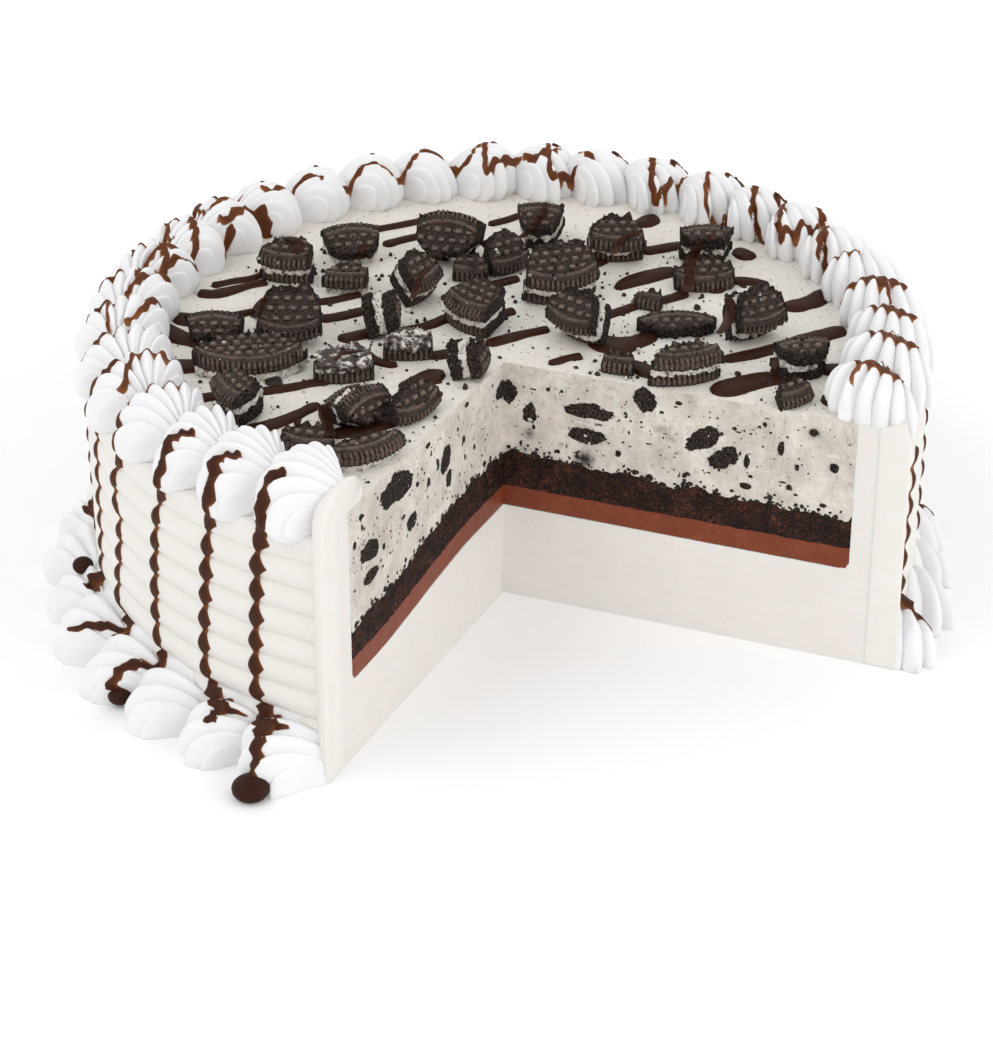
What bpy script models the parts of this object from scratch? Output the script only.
"""Round ice cream cake with a wide slice taken out, dressed with broken sandwich biscuits.

Metres, +Z up. The origin is on the cake's axis, at the level it stands on. Azimuth is
measured from -Y towards +X, and the missing slice lies between the left cut, which is
parallel to Y, and the right cut, which runs nearly along +X.
"""
import math
import random

import bmesh
import bpy
from mathutils import Matrix, Vector
from mathutils.geometry import convex_hull_2d

MM = 0.001
GAP = 0.3 * MM
FLAT = math.radians(0.002)

# The cake: a vanilla cup, three layers in it, whipped icing round it
TOP = 78.5 * MM
VANILLA_RADIUS = 119.2 * MM
LAYER_RADIUS = 112.5 * MM
CUP_RADIUS = LAYER_RADIUS + GAP

# The two knife cuts meet a little in front of the axis
APEX = Vector((5.8 * MM, -14.4 * MM))
RIGHT_CUT_TILT = math.radians(3.9)

# Layer levels, and how far they sag towards the front of the left cut
FUDGE_BOTTOM = 31.0 * MM
FUDGE_THICK = 6.6 * MM
CRUMB_THICK = 9.0 * MM
CRUMB_CROWN = 3.0 * MM
CRUMB_ROLL = 0.8 * MM
CRUMB_ROLL_X = 7.0 * MM
CRUMB_ROLL_Y = 9.0 * MM
SAG = 6.0 * MM
SAG_START = 35.0 * MM
SAG_END = 105.0 * MM
LAYER_FILLET = 2.0 * MM
LAYER_RINGS = (0.0, 0.28, 0.52, 0.76, 0.975, 1.0)
LAYER_COLUMNS = 20

# Piped icing: one shell for each repeat round the rim
SHELLS = 28
ICING_INNER = VANILLA_RADIUS + 0.4 * MM
COMB_CREST = 125.0 * MM
COMB_GROOVE = 122.6 * MM
COMB_PITCH = 8.2 * MM
COMB_TOP = 66.8 * MM
COMB_BOTTOM = 18.5 * MM
DRIP_HALF_WIDTH = 2.5 * MM
DRIP_THICK = 1.5 * MM
DRIP_IN_GROOVE = 0.6

# Top shells: half widths, height and overhang at the middle of a shell and between two
TOP_SHELL_CENTRE = 113.5 * MM
TOP_SHELL = {"inner": 13.5 * MM, "outer": 13.5 * MM, "height": 12.5 * MM, "hang": 12.0 * MM}
TOP_VALLEY = {"inner": 6.5 * MM, "outer": 11.2 * MM, "height": 7.5 * MM, "hang": 10.0 * MM}
TOP_SHELL_END = COMB_TOP + 0.4 * MM
TOP_SHELL_RIB = 0.9 * MM
TOP_SHELL_STEPS = 10
TOP_SHELL_LIP = -45.0
SHELL_COLUMNS = (0.0, 0.14, 0.38, 0.5, 0.62, 0.86)
SHELL_SHOULDER = 0.6

# Threads of sauce over the top shells: each slants from a shell's crest into the next dip
THREAD_THICK = 1.0 * MM
THREAD_HALF_SHARE = 0.16
THREAD_SLANT = 0.5

# Bottom shells, from the foot of the wall out over the board
FOOT_SHELL_REACH = 18.4 * MM
FOOT_SHELL_HEIGHT = 17.8 * MM
FOOT_VALLEY_REACH = 12.5 * MM
FOOT_VALLEY_HEIGHT = 13.0 * MM
FOOT_SHELL_RIB = 0.8 * MM
FOOT_SHELL_STEPS = 6
FOOT_COLUMNS = (0.0, 0.15, 0.36, 0.62, 0.86)
POOL_EVERY = 3
POOL_REACH = 4.5 * MM

# Sandwich biscuit: two wafers with a filling, 45 mm across when whole
BISCUIT_RADIUS = 22.5 * MM
WAFER = 3.6 * MM
FILLING = 2.4 * MM
FILLING_INSET = 0.9
BISCUIT_UNEVEN = 0.25 * MM

# The broken edge, from the right end to the left: shares of the width and of the depth
BREAK = ((0.40, 0.12), (0.16, 0.50), (-0.20, 0.42), (-0.44, 0.06))
BREAK_JAG = 0.06
ROUND_EDGE = (-1.0, -0.4, 0.4, 1.0)

# What the kinds of piece are made of, from below
KINDS = {"sandwich": ("wafer", "filling", "wafer"), "topped": ("filling", "wafer"),
         "open": ("wafer", "filling"), "wafer": ("wafer",)}

# Broken pieces: kind, x, y, width, depth in mm, then where the round edge faces and the
# lean in degrees. A lean above zero lifts the broken end, below zero the round edge.
PIECES = (
    ("sandwich", -78.2, 8.1, 17, 12, 10, 22),
    ("topped", -66.8, 30.4, 19, 13, 215, -30),
    ("topped", -58.5, 9.5, 14, 10, 20, 6),
    ("sandwich", -39.0, 42.9, 20, 15, 190, -58),
    ("sandwich", -36.0, 12.3, 14, 13, 80, 36),
    ("sandwich", -57.8, -28.5, 20, 17, 25, 50),
    ("sandwich", -36.0, -11.5, 14, 11, 115, 75),
    ("wafer", -78.0, -37.0, 18, 12, 205, -25),
    ("topped", -59.7, -49.8, 34, 18, 33, 5),
    ("open", -32.7, -42.1, 18, 13, 30, 8),
    ("open", -21.5, -22.5, 15, 10, 25, 10),
    ("sandwich", -11.0, 3.0, 18, 15, -20, 18),
    ("sandwich", 0.3, -27.0, 10, 11, 100, 75),
    ("sandwich", -48.2, -75.8, 16, 12, -35, 12),
    ("sandwich", -14.6, -67.1, 18, 10, 255, -65),
    ("wafer", -2.5, -56.5, 19, 11, 75, 45),
    ("wafer", -20.0, -86.8, 16, 10, 10, 20),
    ("topped", -3.0, -86.3, 24, 9, 59, 8),
    ("wafer", -27.5, 33.0, 11, 9, 20, 35),
    ("wafer", -21.2, 43.9, 15, 14, 60, 44),
    ("sandwich", -18.5, 65.9, 15, 12, 200, -30),
    ("sandwich", 1.7, 33.1, 24, 17, 40, 28),
    ("sandwich", 6.7, 65.6, 18, 13, 25, 26),
    ("sandwich", 33.1, 76.4, 17, 10, 205, -15),
    ("wafer", 39.0, 58.5, 19, 12, 30, 25),
    ("wafer", 30.0, 37.5, 9, 6, 0, 10),
    ("sandwich", 19.9, 8.1, 18, 13, -15, 52),
    ("wafer", 44.5, 25.5, 24, 11, 207, -14),
    ("sandwich", 65.5, 31.5, 17, 14, 55, 55),
    ("sandwich", 57.7, -2.6, 22, 10, 40, 6),
    ("wafer", 38.5, -6.0, 10, 7, 10, 15),
    ("sandwich", 87.6, 15.4, 17, 11, 215, -10),
    ("wafer", 91.4, -3.2, 12, 8, 60, 30),
)

# Sauce strokes on the top: start x and y, end x and y, width, all in mm
STROKES = (
    (71, -6, 100, 23, 5.0), (95, -4, 104, 6, 4.5), (-22, -106, 3, -72, 5.0),
    (-36, -101, -6, -61, 5.0), (-52, -93, -28, -72, 4.5), (-14, -46, -3, -31, 5.5),
    (-66, -78, -32, -48, 3.6), (-81, -65, -21, 3, 4.2), (-18, -22, 58, 70, 3.6),
    (19, -9, 27, -3, 2.0), (22, -3, 41, 15, 4.5), (46, -7, 91, 48, 4.0),
    (60, 36, 77, 65, 5.5), (16, 42, 54, 84, 5.5), (1, 51, 24, 80, 3.6),
    (-27, 17, -11, 37, 3.6), (-55, -14, -46, -4, 3.6), (-61, -6, -51, 7, 3.0),
    (-98, -18, -79, 3, 4.0), (-63, 43, -53, 53, 3.0), (-78, 46, -57, 62, 3.0),
    (-96, -32, -66, -16, 3.2), (-98, -43, -86, -38, 5.0), (-34, 62, -23, 73, 3.0),
    (-44, 0, -30, 5, 3.0),
)
STROKE_HEIGHT = 1.5 * MM
STROKE_SUNK = 0.6 * MM
STROKE_TIP = 0.4
STROKE_SHOULDER = 0.3
STROKE_TAPER = 0.4
STROKE_MARGIN = 0.8 * MM
STROKE_SHORTEST = 6.0 * MM
STROKE_OUTER = 98.5 * MM


def clear_scene():
    for obj in list(bpy.data.objects):
        bpy.data.objects.remove(obj)


def collection(name):
    made = bpy.data.collections.new(name)
    bpy.context.scene.collection.children.link(made)
    return made


def finish(name, colour, roughness):
    mat = bpy.data.materials.new(name)
    mat.use_nodes = True
    shader = mat.node_tree.nodes["Principled BSDF"]
    shader.inputs["Base Color"].default_value = (*colour, 1.0)
    shader.inputs["Roughness"].default_value = roughness
    shader.inputs["Metallic"].default_value = 0.0
    return mat


def add_object(name, bm, mat, group):
    bmesh.ops.recalc_face_normals(bm, faces=bm.faces)
    mesh = bpy.data.meshes.new(name)
    bm.to_mesh(mesh)
    bm.free()
    obj = bpy.data.objects.new(name, mesh)
    obj.data.materials.append(mat)
    group.objects.link(obj)
    return obj


def mix(low, high, share):
    return low + (high - low) * share


def smooth_step(low, high, value):
    share = min(1.0, max(0.0, (value - low) / (high - low)))
    return share * share * (3.0 - 2.0 * share)


def cut_azimuths(radius):
    """Azimuths at which a circle about the axis meets the right and the left cut."""
    offset = APEX.x * math.sin(RIGHT_CUT_TILT) - APEX.y * math.cos(RIGHT_CUT_TILT)
    right = RIGHT_CUT_TILT + math.acos(offset / radius)
    left = 2.0 * math.pi + math.asin(APEX.x / radius)
    return right, left


def rim_point(share, radius, level=0.0):
    """A point at this share of the way round from the right cut to the left cut."""
    azimuth = mix(*cut_azimuths(radius), share)
    return Vector((radius * math.sin(azimuth), -radius * math.cos(azimuth), level))


def wrapped_grid(columns, rows, place):
    """A flat grid whose vertices are moved to place(column, row)."""
    bm = bmesh.new()
    bmesh.ops.create_grid(bm, x_segments=columns, y_segments=rows, size=0.5)
    for vert in bm.verts:
        column = round((vert.co.x + 0.5) * columns)
        row = round((vert.co.y + 0.5) * rows)
        vert.co = place(column, row)
    bmesh.ops.remove_doubles(bm, verts=bm.verts, dist=1e-6)
    return bm


def extrude_up(bm, faces):
    """Extrude faces, give back what was made and leave nothing inside the solid."""
    edges = list({edge for face in faces for edge in face.edges})
    made = bmesh.ops.extrude_face_region(bm, geom=list(faces) + edges)["geom"]
    verts = [item for item in made if isinstance(item, bmesh.types.BMVert)]
    return verts, [item for item in made if isinstance(item, bmesh.types.BMFace)]


def piped_ring(shares, section):
    """A closed section carried round the rim, with a flat end on each cut."""
    outlines = [section(share) for share in shares]
    rows = len(outlines[0])

    def place(column, row):
        radius, level = outlines[column][row % rows]
        return rim_point(shares[column], radius, level)

    bm = wrapped_grid(len(shares) - 1, rows, place)
    bmesh.ops.holes_fill(bm, edges=[edge for edge in bm.edges if edge.is_boundary])
    return bm


def fudge_bottom(x, y, ring=0.0):
    level = FUDGE_BOTTOM - SAG * smooth_step(SAG_START, SAG_END, -y)
    return level + (LAYER_FILLET if ring == 1.0 else 0.0)


def fudge_top(x, y):
    return fudge_bottom(x, y) + FUDGE_THICK


def crumb_top(x, y):
    """Crumb layer's top: higher in the middle, with a gentle roll."""
    crown = CRUMB_CROWN * (1.0 - math.hypot(x, y) / LAYER_RADIUS)
    roll = CRUMB_ROLL * math.sin(x / CRUMB_ROLL_X) * math.cos(y / CRUMB_ROLL_Y)
    return fudge_top(x, y) + CRUMB_THICK + crown + roll


def layer_spot(column, ring, radius):
    outer = rim_point(column / LAYER_COLUMNS, radius).xy
    return APEX + (outer - APEX) * ring


def layer(name, bottom, top, mat, group):
    """A layer of the filling, from the meeting of the two cuts out to the vanilla wall."""
    def place(column, row):
        ring = LAYER_RINGS[row]
        spot = layer_spot(column, ring, LAYER_RADIUS)
        return (*spot, bottom(spot.x, spot.y, ring))

    bm = wrapped_grid(LAYER_COLUMNS, len(LAYER_RINGS) - 1, place)
    bmesh.ops.triangulate(bm, faces=bm.faces, quad_method="FIXED")
    raised, _ = extrude_up(bm, bm.faces)
    for vert in raised:
        vert.co.z = top(vert.co.x, vert.co.y)
    bmesh.ops.dissolve_limit(bm, angle_limit=FLAT, verts=bm.verts, edges=bm.edges)
    return add_object(name, bm, mat, group)


def vanilla_shell(mat, group):
    """Base and outer wall in one: a cup that the layers fill."""
    rings = len(LAYER_RINGS)

    def place(column, row):
        if row == rings:
            return rim_point(column / LAYER_COLUMNS, VANILLA_RADIUS)
        return (*layer_spot(column, LAYER_RINGS[row], CUP_RADIUS), 0.0)

    bm = wrapped_grid(LAYER_COLUMNS, rings, place)
    bmesh.ops.triangulate(bm, faces=bm.faces, quad_method="FIXED")
    floor, floor_faces = extrude_up(bm, bm.faces)
    for vert in floor:
        near_wall = vert.co.xy.length > CUP_RADIUS - 0.1 * MM
        vert.co.z = fudge_bottom(vert.co.x, vert.co.y, 1.0 if near_wall else 0.0) - GAP
    in_wall = [face for face in floor_faces
               if min(vert.co.xy.length for vert in face.verts) > CUP_RADIUS - 0.1 * MM]
    for vert in extrude_up(bm, in_wall)[0]:
        vert.co.z = TOP
    bmesh.ops.dissolve_limit(bm, angle_limit=FLAT, verts=bm.verts, edges=bm.edges)
    return add_object("vanilla_shell", bm, mat, group)


def side_icing(mat, group):
    """Combed icing round the wall, with a run of sauce below each dip of the top border."""
    start, end = cut_azimuths(COMB_CREST)
    half = DRIP_HALF_WIDTH / COMB_CREST / (end - start)
    shares = [0.0]
    for run in range(1, SHELLS):
        shares += [run / SHELLS - half, run / SHELLS, run / SHELLS + half]
    shares.append(1.0)
    levels = [COMB_TOP, COMB_TOP - 0.6 * COMB_PITCH]
    while levels[-1] - 0.5 * COMB_PITCH > COMB_BOTTOM + 2.0 * MM:
        levels.append(levels[-1] - 0.5 * COMB_PITCH)
    levels.append(COMB_BOTTOM)

    def section(share):
        on_run = abs(share * SHELLS - round(share * SHELLS)) < 1e-4 and 0.0 < share < 1.0
        outline = []
        for index, level in enumerate(levels):
            crest = index % 2 == 0 or level == COMB_BOTTOM
            sauce = DRIP_THICK * (1.0 if crest else DRIP_IN_GROOVE) if on_run else 0.0
            outline.append(((COMB_CREST if crest else COMB_GROOVE) + sauce, level))
        return outline + [(ICING_INNER, COMB_BOTTOM), (ICING_INNER, COMB_TOP)]

    return add_object("side_icing", piped_ring(shares, section), mat, group)


def shell_shares(columns):
    shares = [(shell + column) / SHELLS for shell in range(SHELLS) for column in columns]
    return shares + [1.0]


def lobe(share):
    """How full a piped shell is here: 0 between two shells, 1 at the middle of one."""
    return max(0.0, math.sin(math.pi * (share * SHELLS % 1.0))) ** SHELL_SHOULDER


def top_border(mat, group):
    """Shells piped over the rim, each with a thread of sauce that runs into the next dip."""
    def section(share):
        full = lobe(share)
        size = {side: mix(TOP_VALLEY[side], TOP_SHELL[side], full) for side in TOP_SHELL}
        outline = [(TOP_SHELL_CENTRE - size["inner"], TOP + GAP)]
        for step in range(1, TOP_SHELL_STEPS + 1):
            angle = math.radians(mix(180.0, TOP_SHELL_LIP, step / TOP_SHELL_STEPS))
            across = size["inner"] if math.cos(angle) < 0.0 else size["outer"]
            upward = size["height"] if angle > 0.0 else size["hang"]
            thread_at = 0.5 - THREAD_SLANT * step / TOP_SHELL_STEPS
            aside = abs(share * SHELLS % 1.0 - thread_at) / THREAD_HALF_SHARE
            swell = 0.0
            if share not in (0.0, 1.0):
                swell = THREAD_THICK * max(0.0, 1.0 - aside) - TOP_SHELL_RIB * (-1.0) ** step
            radius = TOP_SHELL_CENTRE + (across + swell) * math.cos(angle)
            outline.append((radius, TOP + GAP + (upward + swell) * math.sin(angle)))
        return outline + [(ICING_INNER, TOP_SHELL_END), (ICING_INNER, TOP + GAP)]

    return add_object("top_border", piped_ring(shell_shares(SHELL_COLUMNS), section), mat, group)


def bottom_border(mat, group):
    """Shells piped round the foot of the wall, with small pools of sauce between some."""
    def section(share):
        full = lobe(share)
        reach = mix(FOOT_VALLEY_REACH, FOOT_SHELL_REACH, full)
        height = mix(FOOT_VALLEY_HEIGHT, FOOT_SHELL_HEIGHT, full)
        dip = round(share * SHELLS)
        pool = full < 0.01 and dip % POOL_EVERY == 1 and dip < SHELLS
        outline = []
        for step in range(FOOT_SHELL_STEPS + 1):
            angle = math.radians(90.0 * (1.0 - step / FOOT_SHELL_STEPS))
            rib = FOOT_SHELL_RIB * (-1.0) ** step if 0 < step < FOOT_SHELL_STEPS else 0.0
            spread = POOL_REACH if pool and step >= FOOT_SHELL_STEPS - 1 else 0.0
            radius = ICING_INNER + (reach + rib + spread) * math.cos(angle)
            outline.append((radius, (height + rib) * math.sin(angle)))
        return outline + [(ICING_INNER, 0.0)]

    return add_object("bottom_border", piped_ring(shell_shares(FOOT_COLUMNS), section), mat, group)


def piece_outline(width, depth, draw):
    """Edge of a broken piece: an arc of the round edge, then a jagged break."""
    outline = []
    for step in ROUND_EDGE:
        x = 0.5 * width * step
        bulge = BISCUIT_RADIUS - math.sqrt(BISCUIT_RADIUS ** 2 - x * x)
        outline.append((x, bulge - 0.5 * depth))
    for along, deep in BREAK:
        jag = draw.uniform(-BREAK_JAG, BREAK_JAG)
        outline.append((width * (along + jag), depth * (deep - abs(jag))))
    return outline


def biscuit_piece(number, kind, spot, size, facing, lean, mat, group):
    draw = random.Random(100 + number)
    bm = bmesh.new()
    verts = [bm.verts.new((x, y, 0.0)) for x, y in piece_outline(*size, draw)]
    face = bm.faces.new(verts)
    levels = {"wafer": [(WAFER, 1.0)],
              "filling": [(0.5 * FILLING, FILLING_INSET), (0.5 * FILLING, 1.0 / FILLING_INSET)]}
    for rise, scale in [level for part in KINDS[kind] for level in levels[part]]:
        tops, (face,) = extrude_up(bm, [face])
        bmesh.ops.scale(bm, vec=(scale, scale, 1.0), verts=tops)
        bmesh.ops.translate(bm, vec=(0.0, 0.0, rise), verts=tops)
    for vert in bm.verts:
        vert.co.z += draw.uniform(-BISCUIT_UNEVEN, BISCUIT_UNEVEN)
    turn = Matrix.Rotation(math.radians(facing), 4, "Z") @ Matrix.Rotation(math.radians(lean), 4, "X")
    bmesh.ops.transform(bm, matrix=turn, verts=bm.verts)
    lowest = min(v.co.z for v in bm.verts)
    centre = sum((v.co.xy for v in bm.verts), Vector((0.0, 0.0))) / len(bm.verts)
    shift = Vector((spot[0] - centre.x, spot[1] - centre.y, TOP + GAP - lowest))
    bmesh.ops.translate(bm, vec=shift, verts=bm.verts)
    return add_object(f"biscuit_{number:02d}", bm, mat, group)


def footprint(obj):
    spots = [vert.co.xy for vert in obj.data.vertices]
    return [spots[index] for index in convex_hull_2d(spots)]


def outside_by(spot, hull):
    """Distance of a spot from a convex outline, negative inside it."""
    middle = sum(hull, Vector((0.0, 0.0))) / len(hull)
    far = -math.inf
    for start, end in zip(hull, hull[1:] + hull[:1]):
        along = end - start
        if along.length < 1e-7:
            continue
        outward = Vector((along.y, -along.x)).normalized()
        if outward.dot(start - middle) < 0.0:
            outward = -outward
        far = max(far, outward.dot(spot - start))
    return far


def on_open_top(spot, margin):
    """Whether a spot on the top is clear of the border and of both cuts."""
    if spot.length + margin > STROKE_OUTER:
        return False
    along_right = Vector((math.cos(RIGHT_CUT_TILT), math.sin(RIGHT_CUT_TILT)))
    past_right = along_right.x * (spot.y - APEX.y) - along_right.y * (spot.x - APEX.x)
    return spot.x < APEX.x - margin or past_right > margin


def open_runs(start, end, half_width, hulls):
    """Stretches of a stroke that lie clear of the biscuits, the border and the cuts."""
    count = max(2, int((end - start).length / MM))
    margin = half_width + STROKE_MARGIN
    runs, current = [], []
    for index in range(count + 1):
        spot = start.lerp(end, index / count)
        clear = on_open_top(spot, margin) and all(outside_by(spot, hull) > margin for hull in hulls)
        if clear:
            current.append(spot)
        if current and (not clear or index == count):
            runs.append((current[0], current[-1]))
            current = []
    return [run for run in runs if (run[1] - run[0]).length > STROKE_SHORTEST]


def sauce_stroke(start, end, width, mat, group):
    """A low loaf of sauce with blunt ends, sunk a little into the top."""
    along = (end - start).normalized()
    aside = Vector((-along.y, along.x)) * 0.5 * width
    tip = along * STROKE_TIP * width
    shoulder = STROKE_SHOULDER * tip
    base = (start - tip, start + shoulder - aside, end - shoulder - aside,
            end + tip, end - shoulder + aside, start + shoulder + aside)
    bm = bmesh.new()
    bm.faces.new([bm.verts.new((*spot, TOP - STROKE_SUNK)) for spot in base])
    for vert in extrude_up(bm, bm.faces)[0]:
        vert.co.xy -= (vert.co.xy - start).project(aside) * STROKE_TAPER
        vert.co.z = TOP + STROKE_HEIGHT
    return add_object("stroke", bm, mat, group)


def fuse(target, group):
    """Join every object of a collection to the target, then remove them."""
    union = target.modifiers.new("fuse", "BOOLEAN")
    union.operand_type = "COLLECTION"
    union.collection = group
    union.operation = "UNION"
    union.solver = "EXACT"
    bpy.context.view_layer.update()
    evaluated = target.evaluated_get(bpy.context.evaluated_depsgraph_get())
    joined = bpy.data.meshes.new_from_object(evaluated)
    target.modifiers.clear()
    target.data = joined
    for obj in list(group.objects):
        bpy.data.objects.remove(obj)
    bpy.data.collections.remove(group)


def main():
    clear_scene()
    cake = collection("ice_cream_cake")
    loose = collection("sauce_strokes")
    vanilla = finish("vanilla", (0.80, 0.74, 0.69), 0.5)
    fudge = finish("fudge", (0.20, 0.062, 0.033), 0.4)
    crumb = finish("crumb", (0.045, 0.017, 0.012), 0.85)
    speckled = finish("speckled_cream", (0.58, 0.53, 0.47), 0.5)
    icing = finish("icing", (0.90, 0.88, 0.87), 0.5)
    biscuit = finish("biscuit", (0.050, 0.033, 0.028), 0.75)

    vanilla_shell(vanilla, cake)
    layer("fudge_layer", fudge_bottom, fudge_top, fudge, cake)
    layer("crumb_layer", lambda x, y, ring: fudge_top(x, y) + GAP, crumb_top, crumb, cake)
    cream = layer("cookies_cream_layer", lambda x, y, ring: crumb_top(x, y) + GAP,
                  lambda x, y: TOP, speckled, cake)
    side_icing(icing, cake)
    top_border(icing, cake)
    bottom_border(icing, cake)

    hulls = []
    for number, (kind, x, y, width, depth, facing, lean) in enumerate(PIECES, 1):
        piece = biscuit_piece(number, kind, (x * MM, y * MM), (width * MM, depth * MM),
                              facing, lean, biscuit, cake)
        hulls.append(footprint(piece))
    for x0, y0, x1, y1, width in STROKES:
        start, end = Vector((x0, y0)) * MM, Vector((x1, y1)) * MM
        for run in open_runs(start, end, 0.5 * width * MM, hulls):
            sauce_stroke(*run, width * MM, speckled, loose)
    fuse(cream, loose)


main()
